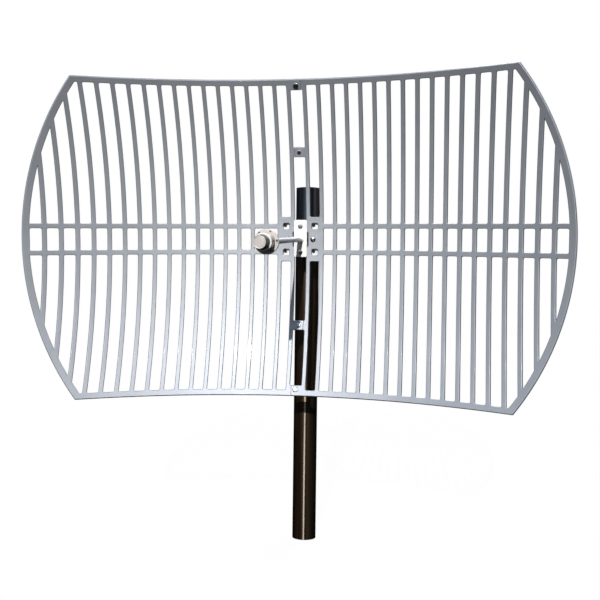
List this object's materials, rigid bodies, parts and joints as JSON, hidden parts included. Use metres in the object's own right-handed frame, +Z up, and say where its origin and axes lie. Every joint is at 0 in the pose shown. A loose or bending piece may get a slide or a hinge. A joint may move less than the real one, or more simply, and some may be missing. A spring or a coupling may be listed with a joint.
{
  "type": "satellite dish",
  "caption": "Grid parabolic dish antenna: two cast rib panels form the reflector, with a feed on a central boom, a tilting bracket and a clamp on an upright tube mast.",
  "frame": {"origin": "centre of the mast tube's foot", "axes": "+Z up along the mast; the dish looks towards -Y, tilted down 3.6 degrees at rest; +X to the right as seen from in front of the dish"},
  "size_m": [1, 0.5237, 0.9092],
  "materials": {
    "mast_paint": "glossy dark brown paint on steel tube",
    "grid_paint": "light grey powder coat on cast aluminium",
    "stainless": "bright stainless sheet",
    "boom_metal": "satin grey tube",
    "zinc_plate": "zinc-plated steel",
    "fastener_steel": "bright plated screws, washers and nuts",
    "feed_metal": "satin turned aluminium",
    "seal_rubber": "black rubber ring",
    "white_insulator": "white fluoropolymer",
    "contact_brass": "bare brass and copper",
    "nickel": "nickel-plated brass"
  },
  "bodies": {
    "mast": {"mast_tube": "mast_paint"},
    "clamp": {"clamp_bracket": "zinc_plate", "u_bolt_upper": "zinc_plate", "u_bolt_lower": "zinc_plate", "u_bolt_washers": "fastener_steel", "u_bolt_nuts": "fastener_steel", "mast_jaw_upper": "zinc_plate", "mast_jaw_lower": "zinc_plate", "tilt_pivot_bolt": "fastener_steel", "tilt_pivot_washers": "fastener_steel", "tilt_pivot_nut": "fastener_steel"},
    "reflector": {"boom_collar": "stainless", "centre_nuts": "fastener_steel", "centre_washers": "fastener_steel", "coax_conductor": "contact_brass", "coax_dielectric": "white_insulator", "connector_contact": "contact_brass", "connector_insulator": "white_insulator", "connector_shell": "nickel", "dipole": "contact_brass", "feed_boom": "boom_metal", "feed_cap": "feed_metal", "feed_disc": "feed_metal", "feed_disc_screws": "fastener_steel", "feed_elbow": "nickel", "feed_flange": "feed_metal", "feed_housing": "feed_metal", "feed_neck": "feed_metal", "feed_plate": "stainless", "feed_plate_screws": "fastener_steel", "feed_seal": "seal_rubber", "grid_panel_left": "grid_paint", "grid_panel_right": "grid_paint", "mid_lap_nuts": "fastener_steel", "mid_lap_screws": "fastener_steel", "mid_lap_washers": "fastener_steel", "mount_bracket": "zinc_plate", "pad_screws": "fastener_steel", "rim_lap_nuts": "fastener_steel", "rim_lap_screws": "fastener_steel", "rim_lap_washers": "fastener_steel", "tilt_lock_bolt": "fastener_steel", "tilt_lock_nut": "fastener_steel", "tilt_lock_washers": "fastener_steel"}
  },
  "joints": [
    {"name": "azimuth", "type": "hinge", "parent": "mast", "child": "clamp", "pos_m": [0, 0, 0.616], "axis": [0, 0, 1], "continuous": true},
    {"name": "elevation", "type": "hinge", "parent": "clamp", "child": "reflector", "pos_m": [0, -0.0515, 0.616], "axis": [-1, 0, 0], "range_deg": [-11, 18.5]}
  ]
}
